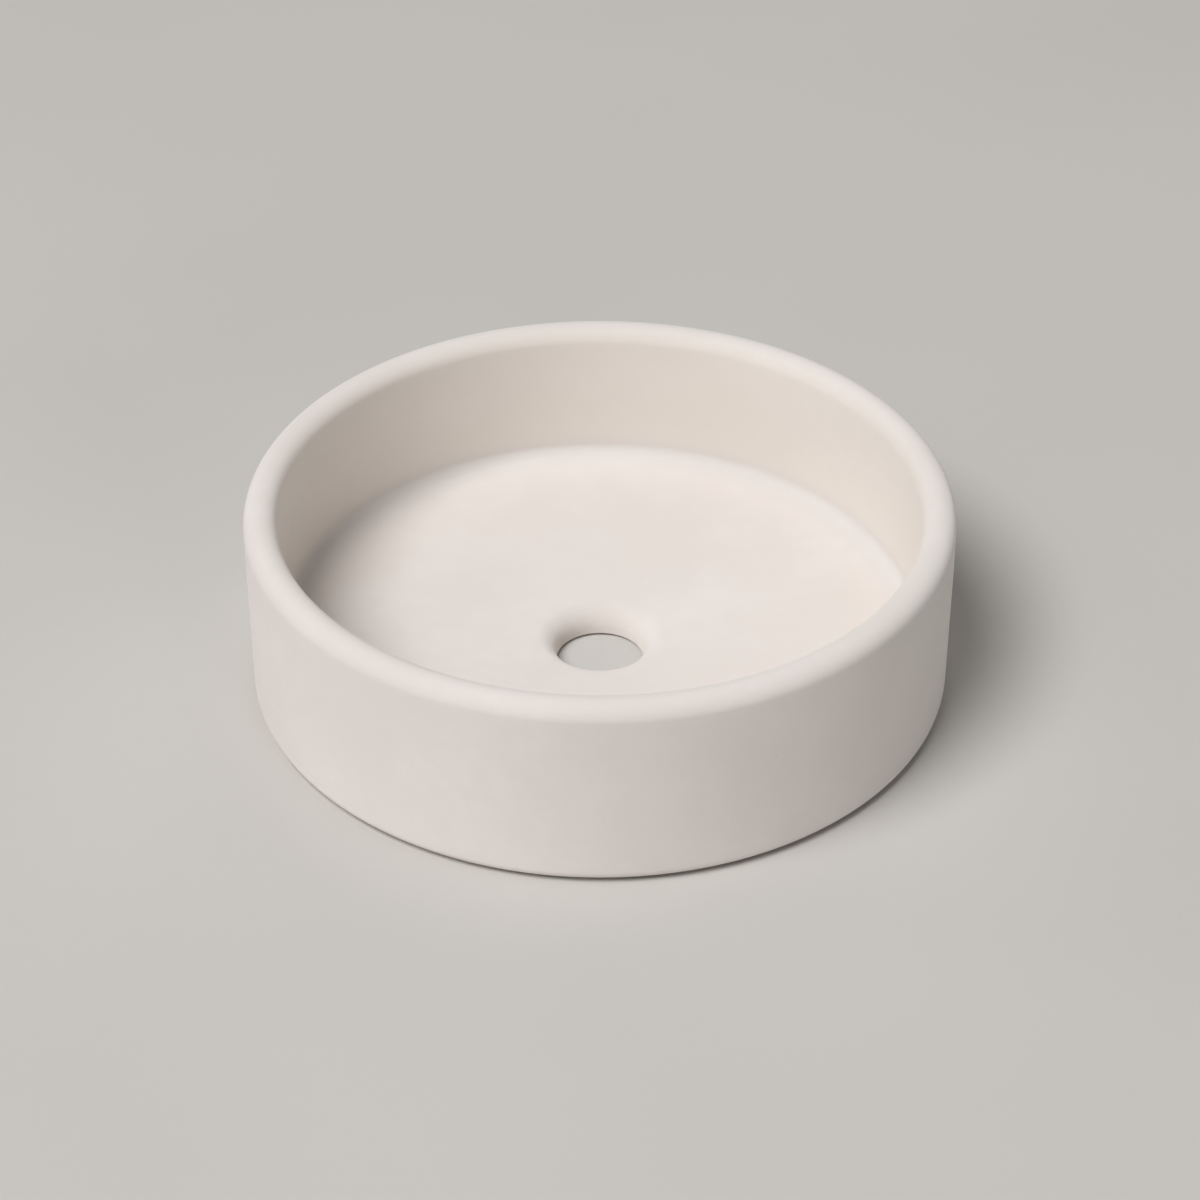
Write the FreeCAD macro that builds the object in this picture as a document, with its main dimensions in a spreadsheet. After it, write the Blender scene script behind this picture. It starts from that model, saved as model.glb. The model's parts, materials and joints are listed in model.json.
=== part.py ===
import FreeCAD, Part
import math
import os

import Sketcher

# Round concrete basin with a full round rim, a falling floor and a flared waste hole.
# It stands on four soft pads and holds a wire cage in the middle of its wall and base.
# Origin: centre of the basin on the surface it stands on. +Z up, lengths in millimetres.

# Driving dimensions: lengths in millimetres, the angle in degrees, then the counts
SIZES = {
    "outer_diameter": 380,
    "overall_height": 110,
    "wall_thickness": 18,
    "foot_arris_radius": 6,
    "bowl_corner_radius": 6,
    "floor_fall_angle": 4.5,
    "waste_diameter": 48,
    "waste_neck_length": 3.2,
    "waste_flare_radius": 12,
    "waste_arris_radius": 0.5,
    "pad_diameter": 20,
    "pad_stand": 1.2,
    "pad_recess_depth": 1.8,
    "pad_edge_radius": 0.5,
    "pad_inset": 38,
    "pad_clearance": 0.3,
    "hoop_wire": 4,
    "bar_wire": 3,
    "bar_bend_radius": 12,
    "drain_hoop_margin": 14,
    "bar_overlap": 6,
    "tie_gap": 0.3,
    "wire_clearance": 0.05,
    "pad_count": 4,
    "bar_count": 12,
}

# All the cuts together may differ from their worked-out volume by this share
CUT_TOLERANCE_SHARE = 0.002

doc = FreeCAD.newDocument("concrete_basin")
sheet = doc.addObject("Spreadsheet::Sheet", "sizes")
for row, (alias, number) in enumerate(SIZES.items(), start=1):
    sheet.set(f"A{row}", alias)
    sheet.set(f"B{row}", str(number))
    sheet.setAlias(f"B{row}", alias)
doc.recompute()

# Places on the casting's section, as expressions of the sheet's sizes
UNDERSIDE = "sizes.pad_stand"
OUTER_RADIUS = "sizes.outer_diameter / 2"
RIM_RADIUS = "sizes.wall_thickness / 2"
RIM_CENTRE_HEIGHT = f"(sizes.overall_height - {RIM_RADIUS})"
BOWL_RADIUS = f"({OUTER_RADIUS} - sizes.wall_thickness)"
FALL = "sizes.floor_fall_angle"
WASTE_RADIUS = "sizes.waste_diameter / 2"
NECK_BOTTOM = f"({UNDERSIDE} + sizes.waste_arris_radius)"
NECK_TOP = f"({NECK_BOTTOM} + sizes.waste_neck_length)"
FLARE_CENTRE_RADIUS = f"({WASTE_RADIUS} + sizes.waste_flare_radius)"
FLARE_EDGE_RADIUS = f"({FLARE_CENTRE_RADIUS} - sizes.waste_flare_radius * sin({FALL}))"
FLARE_EDGE_HEIGHT = f"({NECK_TOP} + sizes.waste_flare_radius * cos({FALL}))"
CORNER_CENTRE_RADIUS = f"({BOWL_RADIUS} - sizes.bowl_corner_radius)"
CORNER_EDGE_RADIUS = f"({CORNER_CENTRE_RADIUS} + sizes.bowl_corner_radius * sin({FALL}))"
CORNER_EDGE_HEIGHT = f"({FLARE_EDGE_HEIGHT} + ({CORNER_EDGE_RADIUS} - {FLARE_EDGE_RADIUS}) * tan({FALL}))"
CORNER_CENTRE_HEIGHT = f"({CORNER_EDGE_HEIGHT} + sizes.bowl_corner_radius * cos({FALL}))"

# Places of the pads
PAD_RADIUS = "sizes.pad_diameter / 2"
PAD_RING_RADIUS = f"({OUTER_RADIUS} - sizes.pad_inset)"
PAD_HEIGHT = f"({UNDERSIDE} + sizes.pad_recess_depth)"
PAD_TURN = "(180 / sizes.pad_count)"
RECESS_RADIUS = f"({PAD_RADIUS} + sizes.pad_clearance)"

# Places of the cage: its bars lie inside its hoops, and both lie mid-way in the wall and in the base
WIRE_STEP = "((sizes.hoop_wire + sizes.bar_wire) / 2 + sizes.tie_gap)"
CAGE_DEPTH = "(sizes.hoop_wire + sizes.bar_wire + sizes.tie_gap)"
BAR_RADIUS = "sizes.bar_wire / 2"
BAR_WALL_RADIUS = f"({BOWL_RADIUS} + (sizes.wall_thickness - {CAGE_DEPTH}) / 2 + {BAR_RADIUS})"
BAR_BASE_HEIGHT = f"(({UNDERSIDE} + {FLARE_EDGE_HEIGHT} - {CAGE_DEPTH}) / 2 + {BAR_RADIUS})"
BEND_CENTRE_RADIUS = f"({BAR_WALL_RADIUS} - sizes.bar_bend_radius)"
BEND_CENTRE_HEIGHT = f"({BAR_BASE_HEIGHT} + sizes.bar_bend_radius)"
RIM_HOOP_RADIUS = f"({BAR_WALL_RADIUS} + {WIRE_STEP})"
BASE_HOOP_HEIGHT = f"({BAR_BASE_HEIGHT} + {WIRE_STEP})"
FOOT_HOOP_RADIUS = f"({BEND_CENTRE_RADIUS} - sizes.hoop_wire)"
DRAIN_HOOP_RADIUS = f"({FLARE_CENTRE_RADIUS} + sizes.drain_hoop_margin)"
BAR_START_RADIUS = f"({DRAIN_HOOP_RADIUS} - sizes.bar_overlap)"
BAR_TOP = f"({RIM_CENTRE_HEIGHT} + sizes.bar_wire)"
HOOPS = {
    "rim_hoop": (RIM_HOOP_RADIUS, RIM_CENTRE_HEIGHT),
    "foot_hoop": (FOOT_HOOP_RADIUS, BASE_HOOP_HEIGHT),
    "drain_hoop": (DRAIN_HOOP_RADIUS, BASE_HOOP_HEIGHT),
}

UP = FreeCAD.Vector(0, 0, 1)

# Sketch words: the ends of a line or arc, an arc's centre, and the sketch's own origin
START = 1
END = 2
CENTRE = 3
ORIGIN = (-1, 1)


def value(expression):
    """The number that an expression gives with the sheet's present sizes."""
    return float(sheet.evalExpression(expression))


def origin_feature(body, role):
    """One of a body's own origin planes or axes."""
    return next(item for item in body.Origin.OriginFeatures if item.Role == role)


def add_sketch(body, name, plane):
    """An empty sketch on one of the body's origin planes."""
    sketch = body.newObject("Sketcher::SketchObject", name)
    sketch.AttachmentSupport = [(origin_feature(body, plane), "")]
    sketch.MapMode = "FlatFace"
    return sketch


def add_line(sketch, start, end):
    """A line between two places, each a pair of expressions."""
    ends = [FreeCAD.Vector(value(across), value(up), 0) for across, up in (start, end)]
    return sketch.addGeometry(Part.LineSegment(*ends))


def add_arc(sketch, centre, radius, first_angle, last_angle):
    """An anticlockwise arc about a place, between two angles in degrees."""
    across, up = centre
    circle = Part.Circle(FreeCAD.Vector(value(across), value(up), 0), UP, value(radius))
    return sketch.addGeometry(Part.ArcOfCircle(circle, math.radians(first_angle), math.radians(last_angle)))


def add_circle(sketch, centre, radius):
    """A circle about a place."""
    across, up = centre
    return sketch.addGeometry(Part.Circle(FreeCAD.Vector(value(across), value(up), 0), UP, value(radius)))


def join(sketch, kind, *ends):
    """A relation between the sketch's lines and arcs, with no size of its own."""
    sketch.addConstraint(Sketcher.Constraint(kind, *ends))


def bind(sketch, name, expression, kind, *ends):
    """A dimension of the sketch that follows an expression."""
    number = value(expression)
    if kind == "Angle":
        number = math.radians(number)
    index = sketch.addConstraint(Sketcher.Constraint(kind, *ends, number))
    sketch.renameConstraint(index, name)
    sketch.setExpression(f"Constraints.{name}", expression)


def add_bar_path(body, name):
    """The L-shaped line of one bar: along the base, round the bend and up the wall."""
    path = add_sketch(body, name, "XZ_Plane")
    base_run = add_line(path, (BAR_START_RADIUS, BAR_BASE_HEIGHT), (BEND_CENTRE_RADIUS, BAR_BASE_HEIGHT))
    bend = add_arc(path, (BEND_CENTRE_RADIUS, BEND_CENTRE_HEIGHT), "sizes.bar_bend_radius", -90, 0)
    wall_run = add_line(path, (BAR_WALL_RADIUS, BEND_CENTRE_HEIGHT), (BAR_WALL_RADIUS, BAR_TOP))
    join(path, "Tangent", base_run, END, bend, START)
    join(path, "Tangent", bend, END, wall_run, START)
    join(path, "Horizontal", base_run)
    join(path, "Vertical", wall_run)
    bind(path, "bend_radius", "sizes.bar_bend_radius", "Radius", bend)
    bind(path, "start_radius", BAR_START_RADIUS, "DistanceX", *ORIGIN, base_run, START)
    bind(path, "base_height", BAR_BASE_HEIGHT, "DistanceY", *ORIGIN, base_run, START)
    bind(path, "wall_radius", BAR_WALL_RADIUS, "DistanceX", *ORIGIN, wall_run, END)
    bind(path, "top_height", BAR_TOP, "DistanceY", *ORIGIN, wall_run, END)
    return path


def add_bar_section(body, name, radius):
    """The round section of a bar, square to its line at the inner end."""
    section = add_sketch(body, name, "YZ_Plane")
    section.setExpression("AttachmentOffset.Base.z", BAR_START_RADIUS)
    circle = add_circle(section, ("0", BAR_BASE_HEIGHT), radius)
    join(section, "PointOnObject", circle, CENTRE, -2)
    bind(section, "base_height", BAR_BASE_HEIGHT, "DistanceY", *ORIGIN, circle, CENTRE)
    bind(section, "wire_radius", radius, "Radius", circle)
    return section


def bar_length():
    """The length of a bar along its middle line."""
    base_run = value(BEND_CENTRE_RADIUS) - value(BAR_START_RADIUS)
    wall_run = value(BAR_TOP) - value(BEND_CENTRE_HEIGHT)
    return base_run + wall_run + math.radians(90) * value("sizes.bar_bend_radius")


def polar_pattern(body, name, feature, count):
    """Copies of a cut, evenly spaced round the basin's axis."""
    pattern = body.newObject("PartDesign::PolarPattern", name)
    pattern.Originals = [feature]
    pattern.Axis = (origin_feature(body, "Z_Axis"), [""])
    pattern.Angle = 360
    pattern.setExpression("Occurrences", count)
    body.Tip = pattern
    return pattern


# Basin casting: the section of the concrete, turned about the upright axis
casting = doc.addObject("PartDesign::Body", "basin_casting")
section = add_sketch(casting, "casting_section", "XZ_Plane")
fall = value(FALL)
underside = add_line(
    section,
    (f"{WASTE_RADIUS} + sizes.waste_arris_radius", UNDERSIDE),
    (f"{OUTER_RADIUS} - sizes.foot_arris_radius", UNDERSIDE),
)
foot_arris = add_arc(
    section,
    (f"{OUTER_RADIUS} - sizes.foot_arris_radius", f"{UNDERSIDE} + sizes.foot_arris_radius"),
    "sizes.foot_arris_radius",
    -90,
    0,
)
outer_wall = add_line(
    section,
    (OUTER_RADIUS, f"{UNDERSIDE} + sizes.foot_arris_radius"),
    (OUTER_RADIUS, RIM_CENTRE_HEIGHT),
)
rim = add_arc(section, (f"{OUTER_RADIUS} - {RIM_RADIUS}", RIM_CENTRE_HEIGHT), RIM_RADIUS, 0, 180)
bowl_wall = add_line(section, (BOWL_RADIUS, RIM_CENTRE_HEIGHT), (BOWL_RADIUS, CORNER_CENTRE_HEIGHT))
bowl_corner = add_arc(
    section,
    (CORNER_CENTRE_RADIUS, CORNER_CENTRE_HEIGHT),
    "sizes.bowl_corner_radius",
    fall - 90,
    0,
)
bowl_floor = add_line(
    section,
    (FLARE_EDGE_RADIUS, FLARE_EDGE_HEIGHT),
    (CORNER_EDGE_RADIUS, CORNER_EDGE_HEIGHT),
)
waste_flare = add_arc(section, (FLARE_CENTRE_RADIUS, NECK_TOP), "sizes.waste_flare_radius", fall + 90, 180)
waste_neck = add_line(section, (WASTE_RADIUS, NECK_TOP), (WASTE_RADIUS, NECK_BOTTOM))
waste_arris = add_arc(
    section,
    (f"{WASTE_RADIUS} + sizes.waste_arris_radius", NECK_BOTTOM),
    "sizes.waste_arris_radius",
    180,
    270,
)
join(section, "Tangent", underside, END, foot_arris, START)
join(section, "Tangent", foot_arris, END, outer_wall, START)
join(section, "Tangent", outer_wall, END, rim, START)
join(section, "Tangent", rim, END, bowl_wall, START)
join(section, "Tangent", bowl_wall, END, bowl_corner, END)
join(section, "Tangent", bowl_corner, START, bowl_floor, END)
join(section, "Tangent", bowl_floor, START, waste_flare, START)
join(section, "Tangent", waste_flare, END, waste_neck, START)
join(section, "Tangent", waste_neck, END, waste_arris, START)
join(section, "Tangent", waste_arris, END, underside, START)
join(section, "Horizontal", underside)
join(section, "Vertical", outer_wall)
join(section, "Vertical", bowl_wall)
join(section, "Vertical", waste_neck)
bind(section, "foot_radius", "sizes.foot_arris_radius", "Radius", foot_arris)
bind(section, "rim_radius", RIM_RADIUS, "Radius", rim)
bind(section, "corner_radius", "sizes.bowl_corner_radius", "Radius", bowl_corner)
bind(section, "flare_radius", "sizes.waste_flare_radius", "Radius", waste_flare)
bind(section, "arris_radius", "sizes.waste_arris_radius", "Radius", waste_arris)
bind(section, "outer_radius", OUTER_RADIUS, "DistanceX", *ORIGIN, outer_wall, START)
bind(section, "rim_height", RIM_CENTRE_HEIGHT, "DistanceY", *ORIGIN, rim, CENTRE)
bind(section, "stand", UNDERSIDE, "DistanceY", *ORIGIN, underside, START)
bind(section, "waste_radius", WASTE_RADIUS, "DistanceX", *ORIGIN, waste_neck, START)
bind(section, "neck_length", "sizes.waste_neck_length", "DistanceY", waste_neck, END, waste_neck, START)
bind(section, "floor_fall", FALL, "Angle", bowl_floor)
concrete = casting.newObject("PartDesign::Revolution", "concrete")
concrete.Profile = section
concrete.ReferenceAxis = (section, ["V_Axis"])
concrete.Angle = 360
doc.recompute()
full_volume = casting.Shape.Volume

# Room in the casting for the hoops, which the concrete is poured round
hoop_section = add_sketch(casting, "hoop_section", "XZ_Plane")
HOOP_ROOM = "(sizes.hoop_wire / 2 + sizes.wire_clearance)"
for name, (ring_radius, ring_height) in HOOPS.items():
    circle = add_circle(hoop_section, (ring_radius, ring_height), HOOP_ROOM)
    bind(hoop_section, f"{name}_wire", HOOP_ROOM, "Radius", circle)
    bind(hoop_section, f"{name}_across", ring_radius, "DistanceX", *ORIGIN, circle, CENTRE)
    bind(hoop_section, f"{name}_up", ring_height, "DistanceY", *ORIGIN, circle, CENTRE)
hoop_room = casting.newObject("PartDesign::Groove", "hoop_room")
hoop_room.Profile = hoop_section
hoop_room.ReferenceAxis = (hoop_section, ["V_Axis"])
hoop_room.Angle = 360
doc.recompute()

# Room in the casting for the bars
BAR_ROOM = f"({BAR_RADIUS} + sizes.wire_clearance)"
bar_room = casting.newObject("PartDesign::SubtractivePipe", "bar_room")
bar_room.Profile = add_bar_section(casting, "bar_room_section", BAR_ROOM)
bar_room.Spine = add_bar_path(casting, "bar_room_path")
doc.recompute()
polar_pattern(casting, "bar_rooms", bar_room, "sizes.bar_count")
doc.recompute()

# Recesses in the casting's underside for the pads
recess_section = add_sketch(casting, "recess_section", "XY_Plane")
recess_section.setExpression("AttachmentOffset.Rotation.Angle", PAD_TURN)
circle = add_circle(recess_section, (PAD_RING_RADIUS, "0"), RECESS_RADIUS)
join(recess_section, "PointOnObject", circle, CENTRE, -1)
bind(recess_section, "ring_radius", PAD_RING_RADIUS, "DistanceX", *ORIGIN, circle, CENTRE)
bind(recess_section, "recess_radius", RECESS_RADIUS, "Radius", circle)
recess = casting.newObject("PartDesign::Pocket", "pad_recess")
recess.Profile = recess_section
recess.Reversed = True
recess.setExpression("Length", PAD_HEIGHT)
doc.recompute()
polar_pattern(casting, "pad_recesses", recess, "sizes.pad_count")
doc.recompute()
pieces = [casting]

# Cage hoops: three rings of wire, in the rim, at the foot of the wall and round the waste hole
for name, (ring_radius, ring_height) in HOOPS.items():
    hoop = doc.addObject("Part::Torus", name)
    hoop.setExpression("Radius1", ring_radius)
    hoop.setExpression("Radius2", "sizes.hoop_wire / 2")
    hoop.setExpression("Placement.Base.z", ring_height)
    pieces.append(hoop)

# Cage bars: L-shaped wires from the drain hoop out along the base and up the wall to the rim hoop
bar_count = int(value("sizes.bar_count"))
for index in range(bar_count):
    number = f"{index + 1:02d}"
    bar = doc.addObject("PartDesign::Body", f"cage_bar_{number}")
    wire = bar.newObject("PartDesign::AdditivePipe", f"bar_wire_{number}")
    wire.Profile = add_bar_section(bar, f"bar_section_{number}", BAR_RADIUS)
    wire.Spine = add_bar_path(bar, f"bar_path_{number}")
    bar.Placement = FreeCAD.Placement(FreeCAD.Vector(), FreeCAD.Rotation(UP, 360 * index / bar_count))
    pieces.append(bar)

# Base pads: soft discs with a rounded lower edge, pressed up into the recesses
pad_count = int(value("sizes.pad_count"))
for index in range(pad_count):
    number = index + 1
    pad = doc.addObject("PartDesign::Body", f"base_pad_{number}")
    pad_section = add_sketch(pad, f"pad_section_{number}", "XZ_Plane")
    flat_radius = f"({PAD_RADIUS} - sizes.pad_edge_radius)"
    sole = add_line(pad_section, ("0", "0"), (flat_radius, "0"))
    edge = add_arc(pad_section, (flat_radius, "sizes.pad_edge_radius"), "sizes.pad_edge_radius", -90, 0)
    side = add_line(pad_section, (PAD_RADIUS, "sizes.pad_edge_radius"), (PAD_RADIUS, PAD_HEIGHT))
    top = add_line(pad_section, (PAD_RADIUS, PAD_HEIGHT), ("0", PAD_HEIGHT))
    axis = add_line(pad_section, ("0", PAD_HEIGHT), ("0", "0"))
    join(pad_section, "Coincident", sole, START, *ORIGIN)
    join(pad_section, "Tangent", sole, END, edge, START)
    join(pad_section, "Tangent", edge, END, side, START)
    join(pad_section, "Coincident", side, END, top, START)
    join(pad_section, "Coincident", top, END, axis, START)
    join(pad_section, "Coincident", axis, END, sole, START)
    join(pad_section, "Horizontal", sole)
    join(pad_section, "Vertical", side)
    join(pad_section, "Horizontal", top)
    join(pad_section, "Vertical", axis)
    bind(pad_section, "edge_radius", "sizes.pad_edge_radius", "Radius", edge)
    bind(pad_section, "pad_radius", PAD_RADIUS, "DistanceX", *ORIGIN, side, END)
    bind(pad_section, "pad_height", PAD_HEIGHT, "DistanceY", *ORIGIN, side, END)
    disc = pad.newObject("PartDesign::Revolution", f"pad_disc_{number}")
    disc.Profile = pad_section
    disc.ReferenceAxis = (pad_section, ["V_Axis"])
    disc.Angle = 360
    turn = FreeCAD.Rotation(UP, value(PAD_TURN) + 360 * index / pad_count)
    pad.Placement = FreeCAD.Placement(turn.multVec(FreeCAD.Vector(value(PAD_RING_RADIUS), 0, 0)), turn)
    pieces.append(pad)
doc.recompute()

# Nothing is written unless every feature is sound and every cut took its worked-out volume away
for item in doc.Objects:
    if "Invalid" in item.State or "Error" in item.State:
        raise RuntimeError(f"{item.Label} failed: {item.getStatusString()}")
for piece in pieces:
    if piece.Shape.isNull() or not piece.Shape.isValid():
        raise RuntimeError(f"{piece.Label} has no sound shape")
hoop_lengths = sum(math.tau * value(ring_radius) for ring_radius, _ in HOOPS.values())
hoop_rooms = hoop_lengths * math.pi * value(HOOP_ROOM) ** 2
bar_rooms = bar_count * bar_length() * math.pi * value(BAR_ROOM) ** 2
recesses = pad_count * math.pi * value(RECESS_RADIUS) ** 2 * value("sizes.pad_recess_depth")
expected = hoop_rooms + bar_rooms + recesses
taken = full_volume - casting.Shape.Volume
print(f"casting {casting.Shape.Volume:.0f} mm3, cuts {taken:.1f} mm3, worked out {expected:.1f} mm3")
if abs(taken - expected) > CUT_TOLERANCE_SHARE * expected:
    raise RuntimeError("a cut in the casting missed")

os.makedirs("parts", exist_ok=True)
for piece in pieces:
    piece.Shape.exportStep(f"parts/{piece.Label}.step")
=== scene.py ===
import json
import math

import bmesh
import bpy
from mathutils import Matrix, Vector


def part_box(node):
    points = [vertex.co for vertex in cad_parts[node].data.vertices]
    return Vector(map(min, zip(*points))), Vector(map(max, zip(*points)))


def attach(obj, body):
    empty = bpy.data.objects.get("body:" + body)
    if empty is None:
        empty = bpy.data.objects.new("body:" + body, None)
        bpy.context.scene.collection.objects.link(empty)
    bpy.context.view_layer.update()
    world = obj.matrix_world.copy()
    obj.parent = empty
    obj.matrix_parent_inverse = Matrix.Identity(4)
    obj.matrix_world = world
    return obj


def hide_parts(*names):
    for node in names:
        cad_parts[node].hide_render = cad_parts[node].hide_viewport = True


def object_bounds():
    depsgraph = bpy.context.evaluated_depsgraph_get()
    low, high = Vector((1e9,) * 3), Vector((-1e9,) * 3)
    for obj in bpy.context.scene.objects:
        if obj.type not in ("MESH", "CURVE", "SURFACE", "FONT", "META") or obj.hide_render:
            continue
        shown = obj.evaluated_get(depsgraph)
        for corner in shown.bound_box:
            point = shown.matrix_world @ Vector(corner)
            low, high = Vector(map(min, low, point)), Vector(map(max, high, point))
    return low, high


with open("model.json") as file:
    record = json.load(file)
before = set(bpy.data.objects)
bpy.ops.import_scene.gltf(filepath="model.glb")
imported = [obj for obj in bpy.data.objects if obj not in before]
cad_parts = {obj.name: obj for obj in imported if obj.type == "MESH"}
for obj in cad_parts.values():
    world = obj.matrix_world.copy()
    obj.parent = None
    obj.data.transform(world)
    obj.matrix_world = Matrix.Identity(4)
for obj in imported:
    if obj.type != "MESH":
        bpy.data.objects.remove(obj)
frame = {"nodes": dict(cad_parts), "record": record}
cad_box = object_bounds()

# Wire cage: three hoops and twelve L-shaped bars that stiffen the casting from inside.
# Drawn stainless wire with faint die marks, cut and bent by hand. It is tied together and
# hung in the mould, and the pour closes round it, so the cage keeps its CAD solids.
WIRE_PALE = (0.60, 0.59, 0.57)
WIRE_DARK = (0.47, 0.46, 0.44)
WIRE_SMOOTHEST = 0.28
WIRE_ROUGHEST = 0.42
DIE_MARK_SIZE = 0.0004
DIE_MARK_DEPTH = 0.00001
BEND_STAIN_SIZE = 0.018
BEND_STAIN_STRENGTH = 0.4


def new_finish(name):
    """An empty finish: the material, its shader and its object coordinates."""
    finish = bpy.data.materials.new(name)
    finish.use_nodes = True
    coordinates = finish.node_tree.nodes.new("ShaderNodeTexCoord")
    return finish, finish.node_tree.nodes["Principled BSDF"], coordinates.outputs["Object"]


def join(finish, source, socket):
    """Feeds a socket of a finish, or of the room, from a pattern, colour or place made before."""
    finish.node_tree.links.new(source, socket)


def grain(finish, place, size, detail=2.0, roughness=0.5, distortion=0.0):
    """A cloudy pattern over the surface, from 0 to 1, with features of about this size."""
    noise = finish.node_tree.nodes.new("ShaderNodeTexNoise")
    noise.inputs["Scale"].default_value = 1.0 / size
    noise.inputs["Detail"].default_value = detail
    noise.inputs["Roughness"].default_value = roughness
    noise.inputs["Distortion"].default_value = distortion
    join(finish, place, noise.inputs["Vector"])
    return noise.outputs["Fac"]


def scale_to(finish, pattern, low, high, start=0.3, stop=0.7):
    """The pattern stretched so that start gives low and stop gives high, with nothing beyond them."""
    stretch = finish.node_tree.nodes.new("ShaderNodeMapRange")
    stretch.interpolation_type = "SMOOTHSTEP"
    stretch.inputs["From Min"].default_value = start
    stretch.inputs["From Max"].default_value = stop
    stretch.inputs["To Min"].default_value = low
    stretch.inputs["To Max"].default_value = high
    join(finish, pattern, stretch.inputs["Value"])
    return stretch.outputs["Result"]


def tint(finish, pattern, under, over):
    """One colour laid over another where the pattern is near 1; either may be a colour made before."""
    mix = finish.node_tree.nodes.new("ShaderNodeMix")
    mix.data_type = "RGBA"
    join(finish, pattern, mix.inputs["Factor"])
    for socket, colour in ((mix.inputs["A"], under), (mix.inputs["B"], over)):
        if isinstance(colour, tuple):
            socket.default_value = (*colour, 1.0)
        else:
            join(finish, colour, socket)
    return mix.outputs["Result"]


def relief(finish, pattern, depth, below=None):
    """Fine relief of this depth where the pattern is 1, on top of any relief made before."""
    bump = finish.node_tree.nodes.new("ShaderNodeBump")
    bump.inputs["Distance"].default_value = depth
    join(finish, pattern, bump.inputs["Height"])
    if below is not None:
        join(finish, below, bump.inputs["Normal"])
    return bump.outputs["Normal"]


wire, wire_shader, wire_place = new_finish("drawn_stainless_wire")
wire_shader.inputs["Metallic"].default_value = 1.0
die_marks = scale_to(wire, grain(wire, wire_place, DIE_MARK_SIZE, detail=4.0), 0.0, 1.0)
bend_stains = scale_to(wire, grain(wire, wire_place, BEND_STAIN_SIZE), 0.0, BEND_STAIN_STRENGTH)
wire_colour = tint(wire, die_marks, WIRE_PALE, WIRE_DARK)
wire_colour = tint(wire, bend_stains, wire_colour, WIRE_DARK)
wire_sheen = scale_to(wire, die_marks, WIRE_SMOOTHEST, WIRE_ROUGHEST, 0.0, 1.0)
join(wire, wire_colour, wire_shader.inputs["Base Color"])
join(wire, wire_sheen, wire_shader.inputs["Roughness"])
join(wire, relief(wire, die_marks, DIE_MARK_DEPTH), wire_shader.inputs["Normal"])
for name, node in frame["nodes"].items():
    if name.endswith("_hoop") or name.startswith("cage_bar_"):
        node.data.materials.clear()
        node.data.materials.append(wire)

# Basin casting: the whole basin, poured in one piece round the cage, upside down in a mould.
# Dense off-white concrete with a fine sand, rubbed smooth and sealed matt; only its underside,
# which was the open side of the mould, is trowelled. It takes the place of the CAD casting.
OUTER_RADIUS = 0.190
WALL_THICKNESS = 0.018
RIM_RADIUS = WALL_THICKNESS / 2
FOOT_ARRIS = 0.006
BOWL_CORNER = 0.006
FLOOR_FALL = math.radians(4.5)
WASTE_FLARE = 0.012
WASTE_ARRIS = 0.0005
WASTE_NECK = 0.0032
RECESS_CLEARANCE = 0.0003
RECESS_ARRIS = 0.0003
RECESS_STEPS = 64
TURN_STEPS = 256
FACET_LENGTH = 0.004
SAME_POINT = 0.00001
CREASE_ANGLE = math.radians(35.0)

pad_names = sorted(name for name in frame["nodes"] if name.startswith("base_pad_"))
casting_low, casting_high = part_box("basin_casting")
underside = casting_low.z
rim_top = casting_high.z
waste_mount = next(mount for mount in frame["record"]["mounts"] if mount["name"] == "waste_hole")
waste_radius = waste_mount["dims"]["r_mm"] / 1000.0
bowl_radius = OUTER_RADIUS - WALL_THICKNESS
flare_edge_radius = waste_radius + WASTE_FLARE * (1.0 - math.sin(FLOOR_FALL))
flare_edge_height = underside + WASTE_ARRIS + WASTE_NECK + WASTE_FLARE * math.cos(FLOOR_FALL)


def floor_height(radius):
    """The height of the bowl's falling floor, or of its line carried on past its ends."""
    return flare_edge_height + (radius - flare_edge_radius) * math.tan(FLOOR_FALL)


def merge_points(shape):
    """Makes one point of any that lie on the same spot."""
    bmesh.ops.remove_doubles(shape, verts=shape.verts[:], dist=SAME_POINT)


def round_corner(shape, corner, radius, facets):
    """A section's sharp corner, rounded to this radius."""
    first, second = [(edge.other_vert(corner).co - corner.co) for edge in corner.link_edges]
    bmesh.ops.bevel(
        shape,
        geom=[corner],
        offset=radius / math.tan(first.angle(second) / 2.0),
        offset_type="OFFSET",
        segments=facets,
        profile=0.5,
        affect="VERTICES",
        material=-1,
    )


def turn_section(shape, steps):
    """A half section beside the Z axis, turned right round it into a closed skin."""
    merge_points(shape)
    bmesh.ops.delete(shape, geom=shape.faces[:], context="FACES_ONLY")
    bmesh.ops.spin(
        shape,
        geom=shape.verts[:] + shape.edges[:],
        cent=(0.0, 0.0, 0.0),
        axis=(0.0, 0.0, 1.0),
        angle=math.tau,
        steps=steps,
        use_merge=True,
    )
    merge_points(shape)


def finish_piece(shape, name):
    """The shape as a smooth object with its faces outwards and creases where it turns sharply."""
    bmesh.ops.recalc_face_normals(shape, faces=shape.faces[:])
    for face in shape.faces:
        face.smooth = True
    mesh = bpy.data.meshes.new(name)
    shape.to_mesh(mesh)
    shape.free()
    mesh.set_sharp_from_angle(angle=CREASE_ANGLE)
    piece = bpy.data.objects.new(name, mesh)
    bpy.context.scene.collection.objects.link(piece)
    return piece


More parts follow.
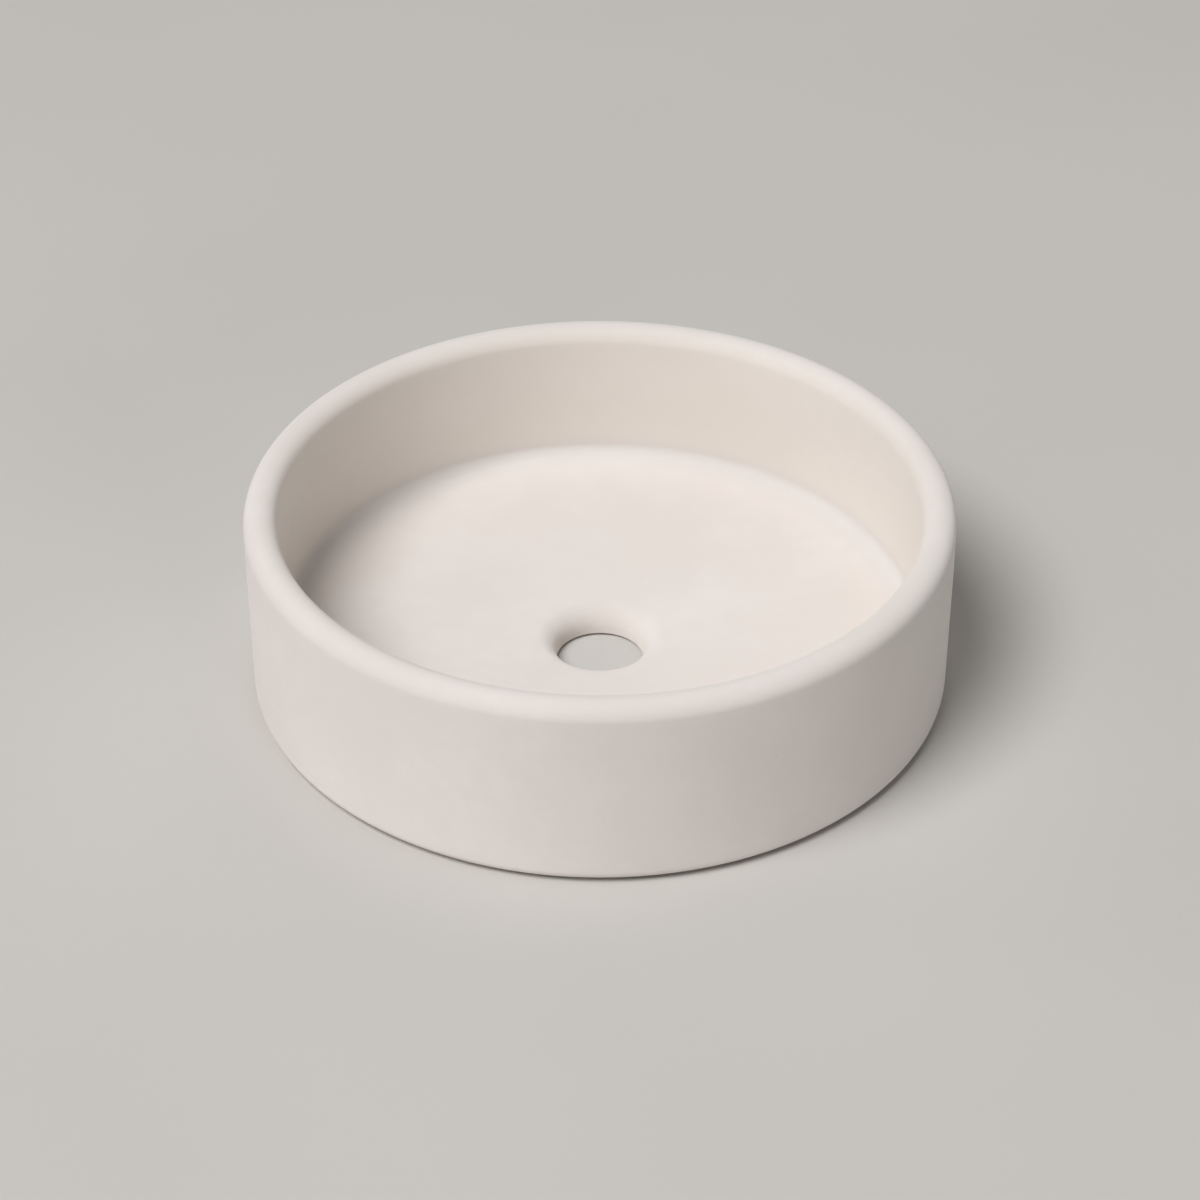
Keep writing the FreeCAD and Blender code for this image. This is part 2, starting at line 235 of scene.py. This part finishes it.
# The section: its sharp corners in order, each with its rounding and that rounding's facets
section_corners = (
    (waste_radius, underside, WASTE_ARRIS, 4),
    (OUTER_RADIUS, underside, FOOT_ARRIS, 10),
    (OUTER_RADIUS, rim_top, RIM_RADIUS, 16),
    (bowl_radius, rim_top, RIM_RADIUS, 16),
    (bowl_radius, floor_height(bowl_radius), BOWL_CORNER, 12),
    (waste_radius, floor_height(waste_radius), WASTE_FLARE, 14),
)
casting_shape = bmesh.new()
corners = [casting_shape.verts.new((radius, 0.0, height)) for radius, height, _, _ in section_corners]
casting_shape.faces.new(corners)
for corner, (_, _, rounding, facets) in zip(corners, section_corners):
    round_corner(casting_shape, corner, rounding, facets)
merge_points(casting_shape)

# The straight runs are divided, so that the shading of the roundings stays beside them
for edge in [edge for edge in casting_shape.edges if edge.calc_length() > 2.0 * FACET_LENGTH]:
    cuts = round(edge.calc_length() / FACET_LENGTH) - 1
    bmesh.ops.subdivide_edges(casting_shape, edges=[edge], cuts=cuts)

# The middle of the underside is left open for the recesses
open_inner = waste_radius + WASTE_ARRIS + 2.0 * FACET_LENGTH
open_outer = OUTER_RADIUS - FOOT_ARRIS - 2.0 * FACET_LENGTH
open_run = [
    vert
    for vert in casting_shape.verts
    if abs(vert.co.z - underside) < SAME_POINT and open_inner < vert.co.x < open_outer
]
bmesh.ops.delete(casting_shape, geom=casting_shape.faces[:], context="FACES_ONLY")
bmesh.ops.delete(casting_shape, geom=open_run, context="VERTS")
turn_section(casting_shape, TURN_STEPS)

# Four round recesses in the underside take the pads
underside_rings = [edge for edge in casting_shape.edges if edge.is_boundary]
recess_rings = []
for name in pad_names:
    pad_low, pad_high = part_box(name)
    pad_middle = (pad_low + pad_high) / 2.0
    ring = bmesh.ops.create_circle(
        casting_shape,
        cap_ends=False,
        radius=(pad_high.x - pad_low.x) / 2.0 + RECESS_CLEARANCE,
        segments=RECESS_STEPS,
        matrix=Matrix.Translation((pad_middle.x, pad_middle.y, underside)),
    )
    recess_rings += dict.fromkeys(edge for vert in ring["verts"] for edge in vert.link_edges)
bmesh.ops.triangle_fill(
    casting_shape, edges=underside_rings + recess_rings, use_beauty=True, normal=(0.0, 0.0, -1.0)
)
sunk = bmesh.ops.extrude_edge_only(casting_shape, edges=recess_rings)
sunk_verts = [item for item in sunk["geom"] if isinstance(item, bmesh.types.BMVert)]
recess_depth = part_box(pad_names[0])[1].z - underside
bmesh.ops.translate(casting_shape, verts=sunk_verts, vec=(0.0, 0.0, recess_depth))
bmesh.ops.holes_fill(casting_shape, edges=[edge for edge in casting_shape.edges if edge.is_boundary])
bmesh.ops.bevel(
    casting_shape,
    geom=recess_rings,
    offset=RECESS_ARRIS,
    offset_type="OFFSET",
    segments=2,
    profile=0.5,
    affect="EDGES",
    material=-1,
)
casting = finish_piece(casting_shape, "concrete_casting")

CONCRETE_PALE = (0.860, 0.812, 0.780)
CONCRETE_DEEP = (0.820, 0.768, 0.729)
CONCRETE_SAND = (0.756, 0.704, 0.661)
CONCRETE_SMOOTHEST = 0.66
CONCRETE_ROUGHEST = 0.74
CONCRETE_GLOSS = 0.15
CONCRETE_CHALKINESS = 0.3
CLOUD_SIZE = 0.085
MOTTLE_SIZE = 0.011
MOTTLE_STRENGTH = 0.35
SAND_SIZE = 0.0007
SAND_STRENGTH = 0.22
SAND_RANGE = (0.5, 0.75)
SAND_DEPTH = 0.00002
PINHOLE_PAINTED_SHADE = (0.610, 0.560, 0.510)
PINHOLE_SPACING = 0.011
PINHOLE_RADIUS = 0.00028
PINHOLE_DEPTH = 0.0002
PINHOLE_DRAW = (0.86, 0.88)
TROWELLED_SHADE = (0.640, 0.600, 0.560)
TROWELLED_FROM = 0.0001
TROWELLED_TO = 0.0006
TROWEL_MARK_SIZE = 0.016
CORNER_PAINTED_SHADE = (0.742, 0.712, 0.698)
CORNER_PAINTED_SHADE_STRENGTH = 0.6
CORNER_CORE = 0.004
INSIDE_PAINTED_LIGHT = (0.900, 0.842, 0.772)
INSIDE_PAINTED_LIGHT_STRENGTH = 0.5
concrete, concrete_shader, concrete_place = new_finish("rubbed_concrete")

# Colour: pale clouds from the pour, a finer mottling, and sand just under the skin
cloud_grain = grain(concrete, concrete_place, CLOUD_SIZE, detail=3.0)
clouds = scale_to(concrete, cloud_grain, 0.0, 1.0)
mottle_grain = grain(concrete, concrete_place, MOTTLE_SIZE, detail=4.0)
mottle = scale_to(concrete, mottle_grain, 0.0, MOTTLE_STRENGTH)
sand_grain = grain(concrete, concrete_place, SAND_SIZE, detail=3.0)
sand = scale_to(concrete, sand_grain, 0.0, SAND_STRENGTH, *SAND_RANGE)
concrete_colour = tint(concrete, clouds, CONCRETE_PALE, CONCRETE_DEEP)
concrete_colour = tint(concrete, mottle, concrete_colour, CONCRETE_DEEP)
concrete_colour = tint(concrete, sand, concrete_colour, CONCRETE_SAND)

# A few pinholes, where air stayed against the mould: one spot in some of the cells, with painted shade
cells = concrete.node_tree.nodes.new("ShaderNodeTexVoronoi")
cells.inputs["Scale"].default_value = 1.0 / PINHOLE_SPACING
join(concrete, concrete_place, cells.inputs["Vector"])
spot_edge = PINHOLE_RADIUS / PINHOLE_SPACING
spots = scale_to(concrete, cells.outputs["Distance"], 1.0, 0.0, 0.5 * spot_edge, 1.5 * spot_edge)
cell_draw = concrete.node_tree.nodes.new("ShaderNodeSeparateColor")
join(concrete, cells.outputs["Color"], cell_draw.inputs["Color"])
drawn_cells = scale_to(concrete, cell_draw.outputs["Red"], 0.0, 1.0, *PINHOLE_DRAW)
drawn_spots = concrete.node_tree.nodes.new("ShaderNodeMath")
drawn_spots.operation = "MULTIPLY"
join(concrete, spots, drawn_spots.inputs[0])
join(concrete, drawn_cells, drawn_spots.inputs[1])
pinholes = drawn_spots.outputs["Value"]
# Painted shade: the pinholes are darkened as if shade lay in them
concrete_colour = tint(concrete, pinholes, concrete_colour, PINHOLE_PAINTED_SHADE)

# The trowelled underside: darker swirled marks on the lowest half millimetre of the casting
place_parts = concrete.node_tree.nodes.new("ShaderNodeSeparateXYZ")
join(concrete, concrete_place, place_parts.inputs["Vector"])
height = place_parts.outputs["Z"]
trowelled = scale_to(concrete, height, 1.0, 0.0, underside + TROWELLED_FROM, underside + TROWELLED_TO)
trowel_grain = grain(
    concrete, concrete_place, TROWEL_MARK_SIZE, detail=6.0, roughness=0.65, distortion=1.6
)
trowel_marks = scale_to(concrete, trowel_grain, 0.0, 1.0)
trowelled_colour = tint(concrete, trowel_marks, concrete_colour, TROWELLED_SHADE)
concrete_colour = tint(concrete, trowelled, concrete_colour, trowelled_colour)


def measure(finish, operation, place, other=None):
    """A place's length, its distance from another place, or its product with it."""
    step = finish.node_tree.nodes.new("ShaderNodeVectorMath")
    step.operation = operation
    join(finish, place, step.inputs[0])
    if other is not None:
        step.inputs[1].default_value = other
    return step.outputs["Vector" if operation == "MULTIPLY" else "Value"]


# Painted shade and painted light inside the bowl, matched to the photograph: painted shade
# deepens the corner all round, and painted light makes the wall above it a shade paler
corner_height = floor_height(bowl_radius)
level_place = measure(concrete, "MULTIPLY", concrete_place, (1.0, 1.0, 0.0))
axis_distance = measure(concrete, "LENGTH", level_place)
section_place = concrete.node_tree.nodes.new("ShaderNodeCombineXYZ")
join(concrete, axis_distance, section_place.inputs["X"])
join(concrete, height, section_place.inputs["Y"])
corner_distance = measure(
    concrete, "DISTANCE", section_place.outputs["Vector"], (bowl_radius, corner_height, 0.0)
)
# Painted shade: the concrete is darkened towards the bowl's corner all round
painted_corner_shade = scale_to(concrete, corner_distance, CORNER_PAINTED_SHADE_STRENGTH, 0.0, CORNER_CORE, WALL_THICKNESS)
concrete_colour = tint(concrete, painted_corner_shade, concrete_colour, CORNER_PAINTED_SHADE)
# Painted light: the inside of the wall is paled from the corner upwards
painted_light_above_corner = scale_to(
    concrete, height, 0.0, INSIDE_PAINTED_LIGHT_STRENGTH, corner_height, corner_height + 2.0 * BOWL_CORNER
)
inside_painted_light = tint(concrete, painted_light_above_corner, concrete_colour, INSIDE_PAINTED_LIGHT)
inside_rim = scale_to(concrete, axis_distance, 1.0, 0.0, bowl_radius, bowl_radius + RIM_RADIUS)
concrete_colour = tint(concrete, inside_rim, concrete_colour, inside_painted_light)
join(concrete, concrete_colour, concrete_shader.inputs["Base Color"])

# Sheen and touch: a chalky matt sealer, a trace rougher on the mottling, over a fine sandy tooth
concrete_sheen = scale_to(concrete, mottle, CONCRETE_SMOOTHEST, CONCRETE_ROUGHEST, 0.0, MOTTLE_STRENGTH)
join(concrete, concrete_sheen, concrete_shader.inputs["Roughness"])
concrete_shader.inputs["Specular IOR Level"].default_value = CONCRETE_GLOSS
concrete_shader.inputs["Diffuse Roughness"].default_value = CONCRETE_CHALKINESS
sandy_tooth = relief(concrete, sand, -SAND_DEPTH)
join(concrete, relief(concrete, pinholes, -PINHOLE_DEPTH, sandy_tooth), concrete_shader.inputs["Normal"])
casting.data.materials.append(concrete)
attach(casting, "root")
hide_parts("basin_casting")

# Base pads: four soft discs that keep the casting off the worktop and let it stand level.
# Moulded grey silicone with two ring grooves in the sole, pressed up into the recesses.
PAD_EDGE = 0.0005
PAD_EDGE_FACETS = 4
PAD_STEPS = 64
GROOVE_DEPTH = 0.0004
GROOVE_HALF_WIDTH = 0.0004
GROOVE_SHARES = (0.72, 0.42)
SILICONE_GREY = (0.30, 0.30, 0.29)
SILICONE_DARK_SHARE = 0.85
SILICONE_DUST = (0.42, 0.41, 0.39)
SILICONE_SMOOTHEST = 0.48
SILICONE_ROUGHEST = 0.66
BLOOM_SIZE = 0.004
BLOOM_STRENGTH = 0.6
DUST_SIZE = 0.0005
DUST_STRENGTH = 0.5
DUST_RANGE = (0.58, 0.75)
DUST_DEPTH = 0.00003

silicone, silicone_shader, silicone_place = new_finish("soft_grey_silicone")
bloom_grain = grain(silicone, silicone_place, BLOOM_SIZE, detail=5.0, roughness=0.6)
bloom = scale_to(silicone, bloom_grain, 0.0, BLOOM_STRENGTH)
dust_grain = grain(silicone, silicone_place, DUST_SIZE, detail=3.0)
dust = scale_to(silicone, dust_grain, 0.0, DUST_STRENGTH, *DUST_RANGE)
silicone_dark = tuple(SILICONE_DARK_SHARE * part for part in SILICONE_GREY)
silicone_colour = tint(silicone, bloom, SILICONE_GREY, silicone_dark)
silicone_colour = tint(silicone, dust, silicone_colour, SILICONE_DUST)
silicone_sheen = scale_to(silicone, bloom, SILICONE_SMOOTHEST, SILICONE_ROUGHEST, 0.0, BLOOM_STRENGTH)
join(silicone, silicone_colour, silicone_shader.inputs["Base Color"])
join(silicone, silicone_sheen, silicone_shader.inputs["Roughness"])
join(silicone, relief(silicone, dust, DUST_DEPTH), silicone_shader.inputs["Normal"])

for name in pad_names:
    pad_low, pad_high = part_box(name)
    pad_middle = (pad_low + pad_high) / 2.0
    pad_radius = (pad_high.x - pad_low.x) / 2.0
    groove_roof = pad_low.z + GROOVE_DEPTH
    pad_section = [(0.0, pad_high.z), (pad_radius, pad_high.z), (pad_radius, pad_low.z)]
    for share in GROOVE_SHARES:
        groove_outer = share * pad_radius + GROOVE_HALF_WIDTH
        groove_inner = share * pad_radius - GROOVE_HALF_WIDTH
        pad_section += [(groove_outer, pad_low.z), (groove_outer, groove_roof)]
        pad_section += [(groove_inner, groove_roof), (groove_inner, pad_low.z)]
    pad_section.append((0.0, pad_low.z))
    pad_shape = bmesh.new()
    pad_corners = [pad_shape.verts.new((radius, 0.0, rise)) for radius, rise in pad_section]
    pad_shape.faces.new(pad_corners)
    round_corner(pad_shape, pad_corners[2], PAD_EDGE, PAD_EDGE_FACETS)
    axis_edges = [edge for edge in pad_shape.edges if all(vert.co.x < SAME_POINT for vert in edge.verts)]
    bmesh.ops.delete(pad_shape, geom=pad_shape.faces[:], context="FACES_ONLY")
    bmesh.ops.delete(pad_shape, geom=axis_edges, context="EDGES")
    turn_section(pad_shape, PAD_STEPS)
    bmesh.ops.translate(pad_shape, verts=pad_shape.verts[:], vec=(pad_middle.x, pad_middle.y, 0.0))
    pad = finish_piece(pad_shape, name.replace("base_pad", "silicone_pad"))
    pad.data.materials.append(silicone)
    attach(pad, "root")
    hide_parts(name)

# Worktop: a wide pale grey surface that the basin stands on. It isn't part of the object.
# Painted matt board with only a trace of unevenness. It fades out far from the basin, so that
# no edge of it shows against the room.
WORKTOP_SIZE = 8.0
WORKTOP_DROP = 0.0001
FADE_START = 1.2
FADE_STOP = 3.6
WORKTOP_PALE = (0.648, 0.626, 0.596)
WORKTOP_DEEP = (0.632, 0.610, 0.580)
WORKTOP_ROUGHNESS = 0.85
WORKTOP_GLOSS = 0.2
UNEVENNESS_SIZE = 0.35
board, board_shader, board_place = new_finish("matt_painted_board")
unevenness = scale_to(board, grain(board, board_place, UNEVENNESS_SIZE), 0.0, 1.0)
fade = scale_to(board, measure(board, "LENGTH", board_place), 1.0, 0.0, FADE_START, FADE_STOP)
join(board, tint(board, unevenness, WORKTOP_PALE, WORKTOP_DEEP), board_shader.inputs["Base Color"])
join(board, fade, board_shader.inputs["Alpha"])
board_shader.inputs["Roughness"].default_value = WORKTOP_ROUGHNESS
board_shader.inputs["Specular IOR Level"].default_value = WORKTOP_GLOSS
worktop_shape = bmesh.new()
bmesh.ops.create_grid(worktop_shape, x_segments=8, y_segments=8, size=WORKTOP_SIZE / 2.0)
bmesh.ops.translate(
    worktop_shape, verts=worktop_shape.verts[:], vec=(0.0, 0.0, cad_box[0].z - WORKTOP_DROP)
)
worktop_mesh = bpy.data.meshes.new("worktop")
worktop_shape.to_mesh(worktop_mesh)
worktop_shape.free()
worktop_mesh.materials.append(board)
worktop = bpy.data.objects.new("worktop", worktop_mesh)
bpy.context.scene.collection.objects.link(worktop)

# Studio light: a large soft key high on the front left with a weaker one below it, and weak
# broad fills all round. Each is aimed at the basin; the room beyond is as pale as the lit worktop.
# A row gives a lamp's name, its azimuth in degrees (0 behind, 90 on the right) and elevation,
# its distance and width in metres, and its power in watts.
LAMPS = (
    ("key", 227.0, 59.0, 9.0, 5.0, 620.0),
    ("low_key", 227.0, 40.0, 9.0, 5.0, 80.0),
    ("front_right_fill", 152.0, 10.0, 7.0, 2.3, 75.0),
    ("high_right_fill", 100.0, 55.0, 8.0, 5.0, 37.0),
    ("left_fill", 283.0, 10.0, 7.0, 2.3, 29.0),
    ("back_fill", 20.0, 48.0, 7.0, 5.0, 67.0),
)
ROOM_PALE = (0.550, 0.531, 0.502)
basin_middle = (cad_box[0] + cad_box[1]) / 2.0
for name, azimuth, elevation, distance, width, power in LAMPS:
    turn = math.radians(azimuth)
    rise = math.radians(elevation)
    towards_lamp = Vector(
        (math.cos(rise) * math.sin(turn), math.cos(rise) * math.cos(turn), math.sin(rise))
    )
    lamp = bpy.data.lights.new(name, "AREA")
    lamp.shape = "DISK"
    lamp.size = width
    lamp.energy = power
    lamp_stand = bpy.data.objects.new(name, lamp)
    lamp_stand.location = basin_middle + distance * towards_lamp
    lamp_stand.rotation_euler = towards_lamp.to_track_quat("Z", "Y").to_euler()
    lamp_stand.visible_camera = False
    bpy.context.scene.collection.objects.link(lamp_stand)

# The room shows behind the worktop and in reflections, and gives no other light
room = bpy.data.worlds.new("pale_room")
room.use_nodes = True
room_light = room.node_tree.nodes["Background"]
room_light.inputs["Color"].default_value = (*ROOM_PALE, 1.0)
ray_kind = room.node_tree.nodes.new("ShaderNodeLightPath")
shown = ray_kind.outputs["Is Camera Ray"]
for other_kind in ("Is Glossy Ray", "Is Transmission Ray"):
    either = room.node_tree.nodes.new("ShaderNodeMath")
    either.operation = "MAXIMUM"
    join(room, shown, either.inputs[0])
    join(room, ray_kind.outputs[other_kind], either.inputs[1])
    shown = either.outputs["Value"]
join(room, shown, room_light.inputs["Strength"])
bpy.context.scene.world = room

# Camera: the photograph's own viewpoint, above the front of the basin and looking down at it.
# Its tilt is in radians, its distance and aim in metres, its lens and sensor in millimetres.
CAMERA_TILT = 0.6153
CAMERA_DISTANCE = 1.7052
CAMERA_AIM_HEIGHT = 0.04106
CAMERA_LENS = 93.72
CAMERA_SENSOR = 36.0
camera_data = bpy.data.cameras.new("photo_camera")
camera_data.sensor_width = CAMERA_SENSOR
camera_data.lens = CAMERA_LENS
camera = bpy.data.objects.new("photo_camera", camera_data)
camera.location = (
    0.0,
    -CAMERA_DISTANCE * math.cos(CAMERA_TILT),
    CAMERA_AIM_HEIGHT + CAMERA_DISTANCE * math.sin(CAMERA_TILT),
)
camera.rotation_euler = (math.pi / 2.0 - CAMERA_TILT, 0.0, 0.0)
bpy.context.scene.collection.objects.link(camera)
bpy.context.scene.camera = camera
bpy.context.scene.view_settings.view_transform = "Standard"
